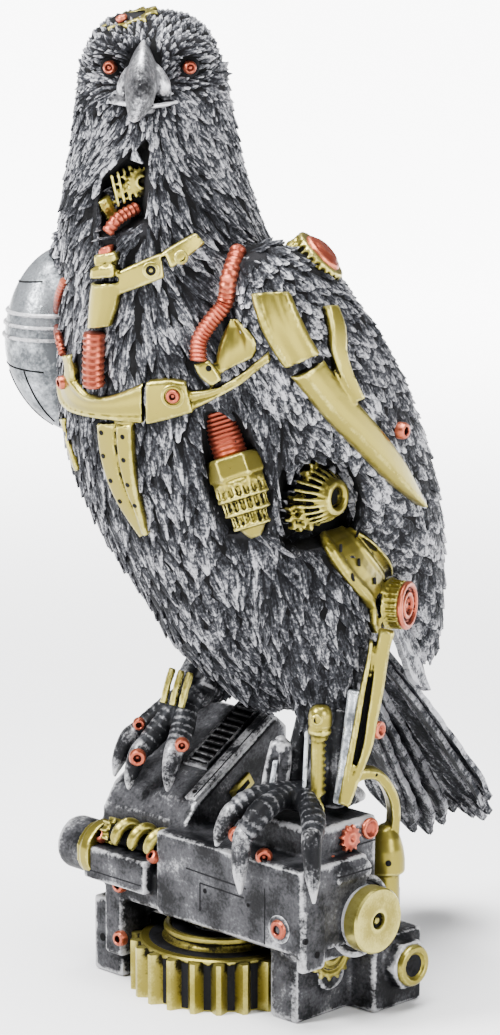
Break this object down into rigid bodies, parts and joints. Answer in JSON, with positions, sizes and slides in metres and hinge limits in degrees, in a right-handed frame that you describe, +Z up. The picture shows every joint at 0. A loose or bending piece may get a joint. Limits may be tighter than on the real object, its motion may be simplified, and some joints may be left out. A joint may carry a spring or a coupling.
{
  "type": "mechanical eagle figurine",
  "caption": "Upright eagle figurine with machine fittings among its feathers, perched with its head turned to its left on an engine-like plinth that stands on a large flat gear.",
  "frame": {"origin": "middle of the plinth's underside, inside the foot of the large flat gear", "axes": "+Z up, -Y the way the eagle's breast and the plinth's long front face look, +X the eagle's left"},
  "size_m": [0.121, 0.1706, 0.298],
  "materials": {
    "antique_silver": "cast resin painted dark gunmetal and dry-brushed silver",
    "worn_steel": "cast resin painted dark steel and dry-brushed silver",
    "brass_paint": "pale brass metallic paint with a dark wash",
    "copper_paint": "bright copper metallic paint",
    "chrome_paint": "polished silver metallic paint"
  },
  "bodies": {
    "root": {"eagle": "antique_silver", "plinth": "worn_steel"}
  },
  "joints": []
}
